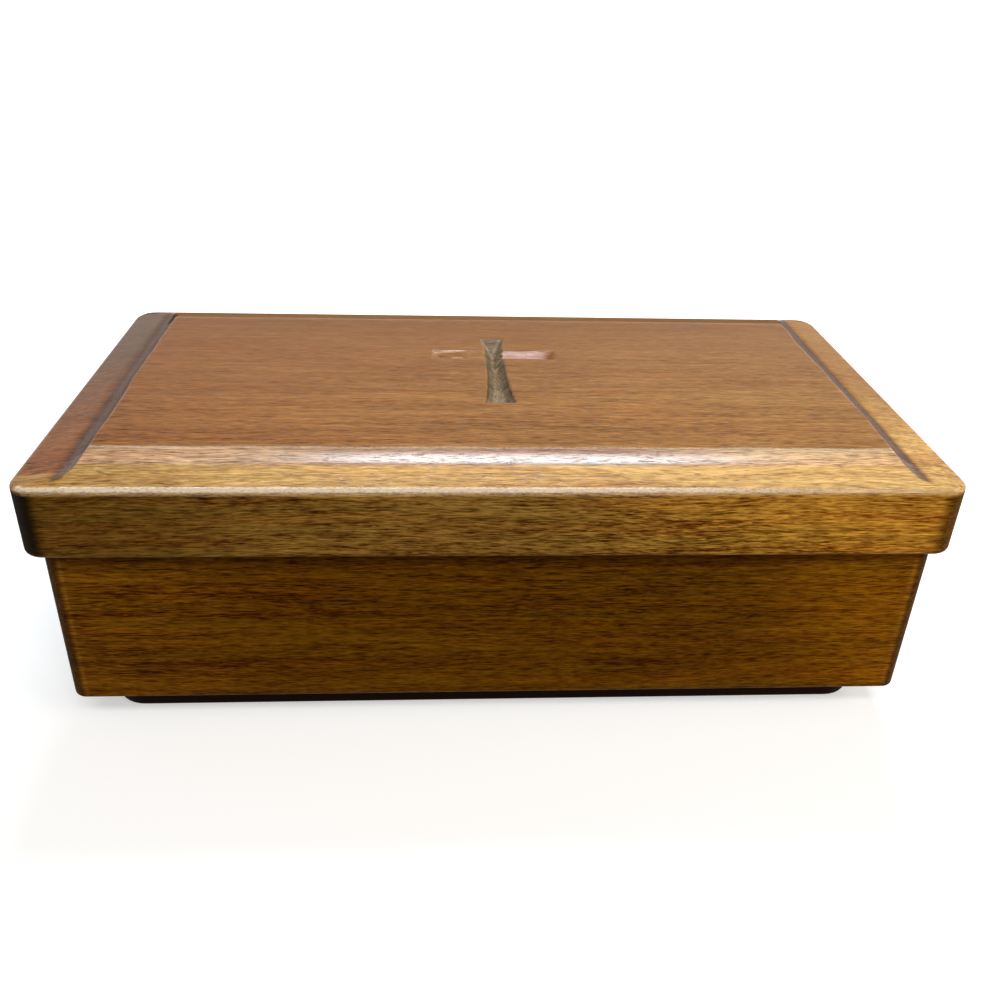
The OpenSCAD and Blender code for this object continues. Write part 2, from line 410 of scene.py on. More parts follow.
def wall_stations(corner_x):
    """Stations along the front wall, from mitre to mitre: a place, and the degrees by which the
    outside is turned there. On a corner's arc the place is the middle of the arc."""
    arc_steps = 6
    arc = [45 * i / arc_steps for i in range(arc_steps + 1)]
    near_corner = [d * MM for d in (0.5, 1, 1.5)]
    beside_corner = corner_x - 2 * MM
    straight = [-corner_x + d for d in near_corner] + steps(-beside_corner, beside_corner, 4 * MM)
    straight += [beside_corner] + [corner_x - d for d in near_corner[::-1]]
    return [(-corner_x, -a) for a in arc[::-1]] + [(x, 0) for x in straight] + [(corner_x, a) for a in arc]


def wall_piece(name, turn, half_across, half_along):
    """One mitred wall. It is made as the front wall of a box half_along long each way and
    half_across deep, then turned about the upright axis."""
    r = WALL_CORNER_R
    corner_x, corner_y = half_along - r, half_across - r
    mitre_x = corner_x + r * math.sin(math.radians(45))
    levels = [(inset, WALL_BOTTOM + rise) for inset, rise in rounded_levels(WALL_EASE_R, 4, True)]
    levels += [(0, z) for z in np.linspace(WALL_BOTTOM, WALL_TOP, 11)[1:-1]]
    levels += [(inset, WALL_TOP + drop) for inset, drop in rounded_levels(WALL_EASE_R, 4, False)]
    verts = []
    rings = []
    for centre_x, angle in wall_stations(corner_x):
        across, out = math.sin(math.radians(angle)), math.cos(math.radians(angle))
        ring = [(centre_x + (r - inset) * across, -corner_y - (r - inset) * out, z)
                for inset, z in levels]
        inner_x = (centre_x + r * across) / mitre_x * (half_along - WALL_T)
        ring += [(inner_x, -half_across + WALL_T, z) for z in np.linspace(WALL_TOP, WALL_BOTTOM, 5)]
        rings.append(list(range(len(verts), len(verts) + len(ring))))
        verts += ring
    faces = [tuple(rings[0]), tuple(rings[-1][::-1])]
    for ring, following in zip(rings, rings[1:]):
        faces += band_faces(following, ring)
    turned = Matrix.Rotation(math.radians(turn), 4, "Z")
    return make_piece(name, [turned @ Vector(v) for v in verts], faces)


def felt_piece():
    """The lining: a thin sheet with a soft edge and a slightly uneven nap."""
    half_l, half_w = (FELT_HIGH.x - FELT_LOW.x) / 2, (FELT_HIGH.y - FELT_LOW.y) / 2
    edge_r, corner_r, arc_steps, step = 0.6 * MM, 0.7 * MM, 4, 1.5 * MM
    nap_h, nap_scale, nap_middle = 0.12 * MM, 90, 0.6
    xs, ys = side_places(half_l, corner_r, step), side_places(half_w, corner_r, step)

    def nap(x, y):
        return nap_h * (noise.noise(Vector((x, y, 0)) * nap_scale) - nap_middle)

    verts = [(x, y, FELT_HIGH.z + nap(x, y)) for y in ys for x in xs]
    faces = grid_faces(len(xs), len(ys))
    last = grid_border(len(xs), len(ys), arc_steps)
    rings = [(inset, FELT_HIGH.z + drop) for inset, drop in rounded_levels(edge_r, 4, False)[::-1]]
    rings.append((0, FELT_LOW.z))
    for inset, z in rings:
        ring = list(range(len(verts), len(verts) + len(last)))
        verts += [(x, y, z + (nap(x, y) if z > FELT_LOW.z else 0))
                  for x, y in outline(half_l, half_w, corner_r, inset, xs, ys, arc_steps)]
        faces += band_faces(last, ring)
        last = ring
    faces.append(tuple(last[::-1]))
    return make_piece("felt_sheet", verts, faces)


# Stain with painted light and shade, painted on the points of each wooden piece

def srgb(r, g, b):
    """A colour written as 0 to 255, as linear light."""
    return np.array([c / 255 / 12.92 if c <= 10 else ((c / 255 + 0.055) / 1.055) ** 2.4
                     for c in (r, g, b)])


def over(below, colour, amount):
    """One colour, or one a point, laid over the colours below by an amount from 0 to 1."""
    return below + (colour - below) * np.asarray(amount)[..., None]


# Colours of the lid
FIELD_LEFT = srgb(146, 90, 45)
FIELD_RIGHT = srgb(164, 113, 58)
# Field darker towards the back: painted shade
FIELD_BACK_SHADED = srgb(132, 78, 22)
# Inner slope: pale at both ends as a painted highlight, the soft edge of the back lamp's reflection, and
# darker in the middle, where that reflection falls
INNER_LEFT = srgb(191, 148, 109)
INNER_RIGHT = srgb(206, 163, 114)
INNER_MIDDLE = srgb(154, 110, 80)
OUTER_LEFT = srgb(190, 146, 80)
OUTER_SLOPE = srgb(214, 166, 101)
# Pale edges: partly wear, partly painted highlight
EDGE_WEAR_AND_HIGHLIGHT = srgb(250, 230, 204)
# Rims: darker at the left as painted shade, golden at the right as painted light falling from the right
RIM_LEFT_SHADED_BACK = srgb(114, 82, 58)
RIM_LEFT_SHADED_FRONT = srgb(143, 86, 46)
RIM_RIGHT_LIT_BACK = srgb(168, 112, 36)
RIM_RIGHT_LIT_FRONT = srgb(206, 154, 84)
COVE_BROWN = srgb(88, 58, 46)
BACK_SLOPE = srgb(142, 98, 62)
# The lid's faces: darker at the left and golden at the right end, partly painted light falling from the
# right
FACE_LEFT = srgb(109, 74, 24)
FACE_MIDDLE = srgb(135, 97, 40)
FACE_RIGHT_LIT = srgb(196, 138, 48)
# Front corners: dark end grain, with painted shade at the left and painted light at the right
CORNER_LEFT_SHADED = srgb(22, 12, 4)
CORNER_RIGHT_LIT = srgb(100, 64, 6)
FACE_LINE = srgb(176, 132, 84)
LID_UNDERSIDE = srgb(112, 72, 36)

# Colours in the cross
CUT_UPRIGHT = srgb(118, 98, 72)
CUT_EDGE = srgb(58, 34, 18)
CUT_VALLEY = srgb(160, 138, 110)
CUT_HEAD = srgb(116, 88, 60)
CUT_BAR_LEFT = srgb(178, 140, 98)
# Painted highlight on the right arm's facet
CUT_BAR_HIGHLIGHT = srgb(214, 180, 172)
CUT_GLINT = srgb(240, 208, 196)

# Colours of the walls, the base and the battens
WALL_BROWN = srgb(98, 58, 4)
WALL_LEFT = srgb(113, 68, 8)
# Golden towards the right end: painted light falling from the right
WALL_RIGHT_LIT = srgb(132, 80, 6)
WALL_CORNER = srgb(56, 32, 4)
WALL_LINE = srgb(156, 104, 40)
WALL_SHADE = srgb(58, 30, 2)
WALL_INSIDE = srgb(96, 58, 26)
# The base is painted nearly black: painted shade, where it sits under the box
BASE_SHADED = srgb(24, 8, 4)
BATTEN_TAN = srgb(176, 134, 86)

# How softly painted parts meet, on the lid and in the cuts
BLUR = 0.3 * MM
CUT_BLUR = 0.25 * MM


def line_distance(x, y, start, end):
    """Distance of each place from the line between two points."""
    along = np.array(end) - np.array(start)
    share = np.clip(((x - start[0]) * along[0] + (y - start[1]) * along[1]) / along.dot(along), 0, 1)
    return np.hypot(x - start[0] - share * along[0], y - start[1] - share * along[1])


def bar_stain_and_light(colour, u, v, right, left):
    """The cross's bar laid over the lid's colours: a painted highlight on the right arm's facet, and on the
    left arm a golden patch, partly painted light on its wall, a thin painted highlight along the upper edge
    and a small painted highlight spot."""
    outside, line_full, patch_weak, inside = -BAR_HALF_L, -9 * MM, -8.5 * MM, -6 * MM
    line_v, line_soft, line_half = ARM_W / 2 + 0.1 * MM, 0.35 * MM, 0.1 * MM
    in_right = fade(np.minimum(*right), 0, CUT_BLUR) * fade(right[1] - right[0], 0, CUT_BLUR)
    in_right = in_right * fade(v, -ARM_W / 2, -ARM_W / 4)
    # Painted highlight on the right arm's facet, fading towards its end
    colour = over(colour, CUT_BAR_HIGHLIGHT, in_right * fade(u, BAR_HALF_L, BAR_HALF_L - BAR_FADE))
    in_left = fade(np.minimum(*left), 0, CUT_BLUR) * fade(v, -CUT_BLUR, CUT_BLUR)
    # A paler golden patch on the left arm, partly painted light
    colour = over(colour, CUT_BAR_LEFT, in_left * (0.5 + 0.25 * fade(u, patch_weak, inside)))
    # A thin painted highlight along the upper edge
    line = fade(np.abs(v - line_v), line_soft, line_half) * fade(u, outside, outside + CUT_BLUR)
    colour = over(colour, CUT_GLINT, 0.5 * line * fade(u, inside, line_full))
    # A small painted highlight spot
    glint_spot = np.hypot((u - GLINT_SPOT[0]) / GLINT_SPOT_HALF_L, (v - GLINT_SPOT[1]) / GLINT_SPOT_HALF_W)
    return over(colour, CUT_GLINT, fade(glint_spot, 1.2, 0.7))


def upright_stain(u, v, head, foot):
    """Colours of the cross's upright: dull, with a pale valley and dark edges towards the foot, a
    browner ramp at the head, and pale lines."""
    wall = np.where(v > 0, head[0], foot[0])
    upright = np.maximum(np.minimum(*head), np.minimum(*foot))
    valley = fade(wall, 1.1 * MM, 2 * MM) * fade(v, -2.5 * MM, -5.5 * MM)
    colour = over(CUT_UPRIGHT, CUT_VALLEY, valley)
    dark_edge = fade(upright, 0.8 * MM, 0.25 * MM) * fade(v, -3 * MM, -16 * MM)
    colour = over(colour, CUT_EDGE, 0.7 * dark_edge)
    on_ramp = fade(head[0] - head[1], 0, CUT_BLUR) * fade(v, -1 * MM, 1 * MM)
    colour = over(colour, CUT_HEAD, on_ramp)
    for start, end, strength in PALE_LINES:
        off = line_distance(u / MM, v / MM, start, end)
        colour = over(colour, CUT_VALLEY, strength * fade(off, 0.5, 0.15))
    return colour


def cross_stain_and_light(colour, x, y):
    """The cross laid over the lid's colours, and how far each place is on its upright."""
    head, foot, right, left = cross_arms(x, y)
    u, v = x - BAR_X, y - BAR_Y
    colour = bar_stain_and_light(colour, u, v, right, left)
    steep_head = np.minimum(head[0], head[1] * CUT_SLOPE / HEAD_RAMP)
    on_upright = fade(np.maximum(steep_head, np.minimum(*foot)), 0.02 * MM, 0.3 * MM)
    return over(colour, upright_stain(u, v, head, foot), on_upright), on_upright


def lid_zones(x, y, z):
    """How far each place of the lid is on each of its parts, from 0 to 1."""
    end_in, front_in, back_in = LID_L / 2 - np.abs(x), LID_W / 2 + y, LID_W / 2 - y
    crease_in = front_in - FRONT_RUN + wobble(x * 2, CREASE_WOBBLE, 0.7)
    cove_start, cove_full = RIM_W - 0.4 * MM, RIM_W + 1.2 * MM
    cove_end, cove_gone = RIM_W + COVE_RUN - 0.5 * MM, RIM_W + COVE_RUN + BLUR
    face_top, face_full = EDGE_Z - 0.8 * MM, EDGE_Z - 1.4 * MM
    line_z, line_soft, line_half = LID_BOTTOM + 0.45 * MM, 0.35 * MM, 0.1 * MM
    on = SimpleNamespace()
    on.end = fade(end_height(x, y) - side_height(x, y), BLUR, -BLUR)
    on.left = fade(x, BLUR, -BLUR)
    on.forwards = fade(y, 30 * MM, -40 * MM)
    on.back = fade(back_in, BACK_RUN + BLUR, BACK_RUN - BLUR)
    on.crease = fade(np.abs(crease_in), 0.7 * MM, 0.1 * MM) * (1 - on.end)
    on.inner = fade(crease_in, BLUR, -BLUR)
    on.outer = fade(front_in, OUTER_RUN + BLUR, OUTER_RUN - BLUR)
    on.rim = on.end * fade(end_in, RIM_W + 2 * MM, RIM_W)
    on.cove = on.end * fade(end_in, cove_start, cove_full) * fade(end_in, cove_gone, cove_end)
    on.corner = fade(end_in + front_in, 6.5 * MM, 3.5 * MM)
    on.face = fade(z, face_top, face_full)
    on.face_line = on.face * fade(np.abs(z - line_z), line_soft, line_half)
    # The front edge's rounding, which gets the pale wear and painted highlight
    on.front_edge = fade(z, EDGE_Z - 1.15 * MM, EDGE_Z - 0.25 * MM) * fade(front_in, 1.5 * MM, 1 * MM)
    on.front_edge = on.front_edge * fade(z, EDGE_Z + 0.35 * MM, EDGE_Z - 0.1 * MM)
    on.underside = fade(z, LID_BOTTOM + 0.2 * MM, LID_BOTTOM)
    return on


def top_stain_and_light(x, y, along, on):
    """Colours of the lid's field, slopes, rims and coves, by place, with painted light and shade on the
    rims, the inner slope and the back of the field.
    """
    colour = over(FIELD_LEFT, FIELD_RIGHT, along)
    # Field darker towards the back: painted shade
    colour = over(colour, FIELD_BACK_SHADED, 0.6 * fade(y, 0, 45 * MM))
    colour = over(colour, BACK_SLOPE, on.back)
    # Inner slope: pale at both ends as a painted highlight, the soft edge of the back lamp's reflection,
    # and darker in the middle, where that reflection falls
    inner = over(INNER_LEFT, INNER_RIGHT, along)
    inner = over(inner, INNER_MIDDLE, fade(np.abs(x), 60 * MM, 25 * MM))
    colour = over(colour, inner, on.inner)
    outer = over(OUTER_LEFT, OUTER_SLOPE, fade(along, 0.05, 0.45))
    colour = over(colour, outer, on.outer)
    # Rims: darker at the left as painted shade, golden at the right as painted light falling from the right
    rim_shaded = over(RIM_LEFT_SHADED_BACK, RIM_LEFT_SHADED_FRONT, on.forwards)
    rim_lit = over(RIM_RIGHT_LIT_BACK, RIM_RIGHT_LIT_FRONT, on.forwards ** 2)
    colour = over(colour, over(rim_lit, rim_shaded, on.left), on.rim)
    colour = over(colour, outer, 0.55 * on.rim * on.outer)
    return over(colour, COVE_BROWN, 0.85 * on.cove)


def face_stain_and_light(along, on):
    """Colours of the lid's upright faces: golden at the right end, partly painted light from the right, and
    dark end grain at the front corners, with painted shade at the left and painted light at the right.
    """
    colour = over(FACE_LEFT, FACE_MIDDLE, fade(along, 0.05, 0.45))
    # Golden towards the right end: partly painted light from the right
    colour = over(colour, FACE_RIGHT_LIT, fade(along, 0.5, 0.95))
    # Front corners: dark end grain, with painted shade at the left and painted light at the right
    corner = over(CORNER_LEFT_SHADED, CORNER_RIGHT_LIT, fade(along, 0.3, 0.7))
    return over(colour, corner, on.corner)


def lid_stain_and_light(x, y, z):
    """Colour of the lid by place, and its figure: grain contrast, pores, gloss, and wear with a painted
    highlight.
    """
    on = lid_zones(x, y, z)
    along = x / LID_L + 0.5
    colour, on_upright = cross_stain_and_light(top_stain_and_light(x, y, along, on), x, y)
    colour = over(colour, face_stain_and_light(along, on), on.face)
    colour = over(colour, FACE_LINE, 0.4 * on.face_line)
    colour = over(colour, LID_UNDERSIDE, on.underside)

    contrast = 0.9 + 0.9 * on.forwards + 0.9 * on_upright - 0.2 * on.outer
    contrast = contrast + 0.5 * on.inner * (1 - on.outer)
    contrast = contrast + (1.4 - 0.8 * fade(np.abs(along - 0.5), 0.2, 0.45)) * on.face
    pores = 0.25 + 0.75 * on.forwards
    gloss = 1 - 0.6 * on.cove - 0.2 * on.rim - 0.9 * on_upright - 0.5 * on.face + 0.45 * on.front_edge
    # Pale along the front edge and the field's front crease: partly wear, partly painted highlight
    wear_and_highlight = np.maximum(0.5 * on.crease, on.front_edge * (1 - 0.8 * fade(along, 0.6, 0.95)))
    return colour, (contrast, pores, gloss, wear_and_highlight)


def wall_stain_and_light(x, y, z):
    """Colour of the walls by place: rich outside, golden towards the right end as painted light, with a
    painted shadow of the lid along their top, dark round the corners with a pale line beside them, plain
    inside."""
    end_in, side_in = BODY_L / 2 - np.abs(x), BODY_W / 2 - np.abs(y)
    from_corner = end_in + side_in
    colour = over(WALL_BROWN, WALL_LEFT, fade(x, -40 * MM, -75 * MM))
    # Golden towards the right end: painted light falling from the right
    colour = over(colour, WALL_RIGHT_LIT, fade(x, 50 * MM, 88 * MM))
    # Painted shadow of the lid along the top of the walls
    colour = over(colour, WALL_SHADE, 0.4 * fade(z, WALL_TOP - 5.5 * MM, WALL_TOP - 1.5 * MM))
    colour = over(colour, WALL_LINE, 0.35 * fade(np.abs(from_corner - 3.5 * MM), 0.6 * MM, 0.2 * MM))
    colour = over(colour, WALL_CORNER, 0.8 * fade(from_corner, 3.1 * MM, 2.4 * MM))
    inside = fade(np.minimum(end_in, side_in), 0.3 * WALL_T, 0.6 * WALL_T)
    colour = over(colour, WALL_INSIDE, inside)
    return colour, (2.6, 0.9, 0.35, 0)


def plain_stain(colour, *figure):
    """The same colour and figure all over a piece."""
    return lambda x, y, z: (colour + 0 * x[:, None], figure)


def paint(piece, stain_and_light):
    """Writes a piece's colour, its stain with painted light and shade, and its figure onto the piece's
    points.
    """
    count = len(piece.data.vertices)
    places = np.zeros(count * 3)
    piece.data.vertices.foreach_get("co", places)
    x, y, z = places.reshape(-1, 3).T
    colour, figure = stain_and_light(x, y, z)
    layers = {"stain_and_light": [*colour.T, 1], "figure": figure}
    for name, channels in layers.items():
        layer = piece.data.color_attributes.new(name, "FLOAT_COLOR", "POINT")
        layer.data.foreach_set("color", np.stack([channel + 0 * x for channel in channels], 1).ravel())


# Materials

class Shader:
    """Short ways to add and join the nodes of one material."""

    def __init__(self, name):
        self.material = bpy.data.materials.new(name)
        self.material.use_nodes = True
        self.tree = self.material.node_tree
        self.bsdf = self.tree.nodes["Principled BSDF"]

    def node(self, kind, inputs=(), **settings):
        """Adds a node. inputs are pairs of a socket and a value or an output to link to it."""
        n = self.tree.nodes.new(kind)
        for key, value in settings.items():
            setattr(n, key, value)
        for key, value in dict(inputs).items():
            self.put(n.inputs[key], value)
        return n

    def put(self, socket, value):
        """Links an output to the socket, or sets a plain value on it."""
        if isinstance(value, bpy.types.NodeSocket):
            self.tree.links.new(value, socket)
        else:
            socket.default_value = value

    def math(self, operation, a, b=0.0):
        return self.node("ShaderNodeMath", {0: a, 1: b}, operation=operation).outputs[0]

    def vector(self, operation, a, b):
        second = "Scale" if operation == "SCALE" else 1
        return self.node("ShaderNodeVectorMath", {0: a, second: b}, operation=operation).outputs[0]

    def step(self, value, low, high, start=0.0, end=1.0):
        """start up to low and end from high, with a smooth ramp between them."""
        n = self.node("ShaderNodeMapRange", {"Value": value, "From Min": low, "From Max": high,
                                             "To Min": start, "To Max": end},
                      interpolation_type="SMOOTHSTEP")
        return n.outputs["Result"]

    def mix(self, factor, a, b):
        """Colour a at factor 0 and colour b at factor 1."""
        n = self.node("ShaderNodeMix", data_type="RGBA")
        colour_a, colour_b = [i for i in n.inputs if i.type == "RGBA"]
        self.put(n.inputs[0], factor)
        self.put(colour_a, a)
        self.put(colour_b, b)
        return next(o for o in n.outputs if o.type == "RGBA")

    def noise(self, vector, scale, stretch=(1, 1, 1), offset=(0, 0, 0), detail=2.0, roughness=0.5,
              warp=0.0):
        """Noise in millimetre coordinates, with its own stretch and offset."""
        placed = self.node("ShaderNodeMapping", {"Vector": vector, "Location": offset,
                                                 "Scale": stretch})
        n = self.node("ShaderNodeTexNoise", {"Vector": placed.outputs[0], "Scale": scale,
                                             "Detail": detail, "Roughness": roughness,
                                             "Distortion": warp})
        return n.outputs["Fac"]

    def weighted(self, terms):
        """Sum of noises about their middle, each times its weight."""
        total = None
        for value, weight in terms:
            part = self.math("MULTIPLY", self.math("SUBTRACT", value, 0.5), weight)
            total = part if total is None else self.math("ADD", total, part)
        return total


def wood_grain(s, p, q, fibres, stain_and_light, contrast):
    """The stain, with its painted light and shade, with clouds, bands, streaks and fibres. Darker grain is
    redder and more saturated, paler grain more yellow."""
    clouds = s.noise(p, 0.03, (0.5, 1, 1), (2, 6, 4), detail=2.0)
    bands = s.noise(q, 0.13, (0.06, 1, 1), (5, 2, 9), detail=3.0, roughness=0.55)
    streaks = s.noise(q, 0.8, (0.05, 1, 1), (3, 8, 1), detail=3.0, roughness=0.6)
    hues = s.noise(q, 0.35, (0.05, 1, 1), (8, 3, 5), detail=3.0)
    tone = s.weighted([(clouds, 0.4), (bands, 0.45), (streaks, 0.9), (fibres, 1.6)])
    warmth = s.weighted([(hues, 0.7)])
    lightness = s.vector("SCALE", (0.85, 1.0, 1.15), tone)
    yellowness = s.vector("SCALE", (0.05, 0.45, 0.6), warmth)
    factor = s.vector("SCALE", s.vector("ADD", lightness, yellowness), contrast)
    factor = s.vector("MAXIMUM", s.vector("ADD", factor, (1, 1, 1)), (0.12, 0.1, 0.08))
    return s.vector("MULTIPLY", stain_and_light, factor)


def wood_flecks(s, q, colour, stain_and_light, pore, contrast):
    """Short dark pores and a few pale flecks, laid over the grain."""
    colour = s.mix(s.math("MULTIPLY", pore, 0.75), colour, s.vector("MULTIPLY", stain_and_light, (0.4, 0.32, 0.25)))
    fleck_noise = s.noise(q, 3.0, (0.11, 1, 1), (9, 1, 6), detail=1.0)
    fleck = s.math("MULTIPLY", s.step(fleck_noise, 0.62, 0.74), contrast)
    return s.mix(s.math("MULTIPLY", fleck, 0.3), colour, s.vector("MULTIPLY", stain_and_light, (1.7, 1.7, 1.5)))


def wood_wear_and_highlight(s, q, colour, wear_and_highlight):
    """Worn edges with a painted highlight over them, pale but for their dark pores."""
    speckle = s.step(s.noise(q, 4.0, (0.3, 1, 1), (3, 3, 8), detail=2.0), 0.38, 0.6)
    worn_and_lit = s.math("MULTIPLY", wear_and_highlight, s.math("ADD", s.math("MULTIPLY", wear_and_highlight, 0.7), speckle))
    worn_and_lit = s.node("ShaderNodeClamp", {"Value": worn_and_lit, "Max": 0.97}).outputs[0]
    return s.mix(worn_and_lit, colour, (*EDGE_WEAR_AND_HIGHLIGHT, 1))


def wood_roughness(s, along_grain, roughness, pore, gloss):
    """Rougher in the pores, where the finish is dull, and on end grain, which faces along_grain."""
    end = s.step(s.math("ABSOLUTE", along_grain), 0.3, 0.9)
    rough = s.math("ADD", roughness, s.math("MULTIPLY", pore, 0.15))
    rough = s.math("ADD", rough, s.math("MULTIPLY", end, 0.25))
    return s.math("ADD", rough, s.math("MULTIPLY", s.math("SUBTRACT", 1.0, gloss), 0.3))


def wood_bump(s, q, fibres, pore):
    """Pores sink, fibres stand a little proud, and the whole surface is never quite flat."""
    hills = s.noise(q, 0.22, (0.35, 1, 1), (6, 6, 2), detail=2.0)
    height = s.math("SUBTRACT", s.math("MULTIPLY", fibres, 0.35), pore)
    height = s.math("ADD", height, s.math("MULTIPLY", hills, 1.6))
    return s.node("ShaderNodeBump", {"Height": height, "Distance": 0.04 * MM, "Strength": 0.6}).outputs[0]


def wood(name, seed, turn=0.0, roughness=0.25, specular=0.35, specular_tint=(1, 1, 1)):
    """Stained hardwood with its grain along X, or along Y at a quarter turn. Each piece's paint
    gives its colour and how much figure it shows: wandering bands, streaks, fine fibres, short
    dark pores and pale flecks, all along the grain, and speckled, rougher end grain."""
    s = Shader(name)
    coords = s.node("ShaderNodeTexCoord")
    scaled = s.vector("MULTIPLY", coords.outputs["Object"], (1000, 1000, 1000))
    p = s.node("ShaderNodeMapping", {"Vector": scaled, "Location": seed,
                                     "Rotation": (0, 0, math.radians(turn))}).outputs[0]
    # The grain wanders slowly sideways
    wander = s.noise(p, 0.018, (1, 0.6, 0.6), (11, 3, 7), detail=1.0)
    sideways = s.math("MULTIPLY", s.math("SUBTRACT", wander, 0.5), 4.0)
    shift = s.node("ShaderNodeCombineXYZ", {"Y": sideways, "Z": sideways})
    q = s.vector("ADD", p, shift.outputs[0])

    stain_and_light = s.node("ShaderNodeAttribute", attribute_name="stain_and_light").outputs["Color"]
    figure = s.node("ShaderNodeAttribute", attribute_name="figure").outputs
    contrast, pore_amount, gloss = s.node("ShaderNodeSeparateColor", {"Color": figure["Color"]}).outputs
    fibres = s.noise(q, 3.6, (0.08, 1, 1), (7, 4, 2), detail=2.0, roughness=0.6)
    pore_noise = s.noise(q, 3.8, (0.1, 1, 1), (1, 5, 3), detail=1.0)
    pore = s.math("MULTIPLY", s.step(pore_noise, 0.6, 0.7), pore_amount)
    colour = wood_grain(s, p, q, fibres, stain_and_light, contrast)
    colour = wood_flecks(s, q, colour, stain_and_light, pore, contrast)
    s.put(s.bsdf.inputs["Base Color"], wood_wear_and_highlight(s, q, colour, figure["Alpha"]))
    normal = s.node("ShaderNodeSeparateXYZ", {"Vector": coords.outputs["Normal"]})
    along_grain = normal.outputs["Y" if turn else "X"]
    s.put(s.bsdf.inputs["Roughness"], wood_roughness(s, along_grain, roughness, pore, gloss))
    s.put(s.bsdf.inputs["Normal"], wood_bump(s, q, fibres, pore))
    s.bsdf.inputs["Specular IOR Level"].default_value = specular
    s.bsdf.inputs["Specular Tint"].default_value = (*specular_tint, 1)
    return s.material


def felt(name, colour, dark):
    """Matted wool: warped hairs, slow clouds, a soft sheen."""
    s = Shader(name)
    coords = s.node("ShaderNodeTexCoord")
    p = s.vector("MULTIPLY", coords.outputs["Object"], (1000, 1000, 1000))
    hairs = s.noise(p, 3.5, detail=4.0, roughness=0.7, warp=2.5)
    clouds = s.noise(p, 0.12, offset=(4, 4, 4), detail=3.0)
    tone = s.math("ADD", s.math("MULTIPLY", hairs, 0.7), s.math("MULTIPLY", clouds, 0.3))
    colour = s.mix(s.step(tone, 0.35, 0.62), (*dark, 1), (*colour, 1))
    s.put(s.bsdf.inputs["Base Color"], colour)
    s.bsdf.inputs["Roughness"].default_value = 0.95
    s.bsdf.inputs["Specular IOR Level"].default_value = 0.1
    s.bsdf.inputs["Sheen Weight"].default_value = 0.35
    bump = s.node("ShaderNodeBump", {"Height": hairs, "Distance": 0.15 * MM, "Strength": 0.7})
    s.put(s.bsdf.inputs["Normal"], bump.outputs[0])
    return s.material


# The pieces

def finish_piece(piece, stain_and_light, materials, body, slot, *nodes):
    """Paints a piece, gives it its materials, and puts it in the place of its nodes."""
    if stain_and_light:
        paint(piece, stain_and_light)
    for material in materials:
        piece.data.materials.append(material)
    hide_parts(*nodes)
    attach(piece, body)


def share_lid_materials(lid):
    """Gives each face of the lid its material, by place: 1 on the sides and below, 2 at the back
    and 3 on the front slopes."""
    for face in lid.data.polygons:
        x, y, z = face.center
        between_coves = abs(x) < LID_L / 2 - RIM_W - COVE_RUN / 2
        if z < EDGE_Z - 1.1 * MM:
            face.material_index = 1
        elif y > LID_W / 2 - 2.5 * MM or (between_coves and y > LID_W / 2 - BACK_RUN):
            face.material_index = 2
        elif between_coves and y < -LID_W / 2 + FRONT_RUN:
            face.material_index = 3


BODY_TINT = (1, 0.66, 0.3)
lid_wood = wood("lid_wood", (0, 0, 0), roughness=0.22, specular=0.17)
lid_slope_wood = wood("lid_slope_wood", (0, 0, 0), roughness=0.26, specular=0.8)
lid_side_wood = wood("lid_side_wood", (0, 0, 0), specular=0.02, specular_tint=BODY_TINT)
lid_back_wood = wood("lid_back_wood", (0, 0, 0), specular=0.0)
wall_wood_x = wood("wall_wood_x", (40, 17, 5), specular=0.03, specular_tint=BODY_TINT)
wall_wood_y = wood("wall_wood_y", (71, 33, 12), turn=90, specular=0.03, specular_tint=BODY_TINT)
base_wood = wood("base_wood", (13, 51, 3), specular=0.04, specular_tint=BODY_TINT)
batten_wood = wood("batten_wood", (90, 7, 31), turn=90)
red_felt = felt("red_felt", srgb(150, 26, 40), srgb(84, 8, 20))

lid = lid_board()
share_lid_materials(lid)
lid_materials = (lid_wood, lid_side_wood, lid_back_wood, lid_slope_wood)
finish_piece(lid, lid_stain_and_light, lid_materials, "lid", "lid_wood", "lid_board")
for side in ("left", "right"):
    low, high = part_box(f"lid_batten_{side}")
    batten = board_piece(f"batten_{side}_rounded", low, high, BATTEN_CORNER_R, BATTEN_EDGE_R, SHARP_R)
    finish_piece(batten, plain_stain(BATTEN_TAN, 0.9, 0.6, 0.6, 0), [batten_wood], "lid", "batten_wood",
                 f"lid_batten_{side}")
for name, turn, across, along, material in (
        ("front_wall", 0, BODY_W / 2, BODY_L / 2, wall_wood_x),
        ("right_wall", 90, BODY_L / 2, BODY_W / 2, wall_wood_y),
        ("back_wall", 180, BODY_W / 2, BODY_L / 2, wall_wood_x),
        ("left_wall", 270, BODY_L / 2, BODY_W / 2, wall_wood_y)):
    wall = wall_piece(f"{name}_eased", turn, across, along)
    finish_piece(wall, wall_stain_and_light, [material], "box", "wall_wood", name)
# The base board, nearly black with painted shade
base = board_piece("base_rounded", BASE_LOW, BASE_HIGH, BASE_CORNER_R, BASE_EDGE_R, SHARP_R)
finish_piece(base, plain_stain(BASE_SHADED, 0.9, 0.5, 0.3, 0), [base_wood], "box", "base_wood", "base_board")
felt_sheet = felt_piece()
finish_piece(felt_sheet, None, [red_felt], "box", "felt", "felt_lining")


# Camera, at the photograph's place and angle

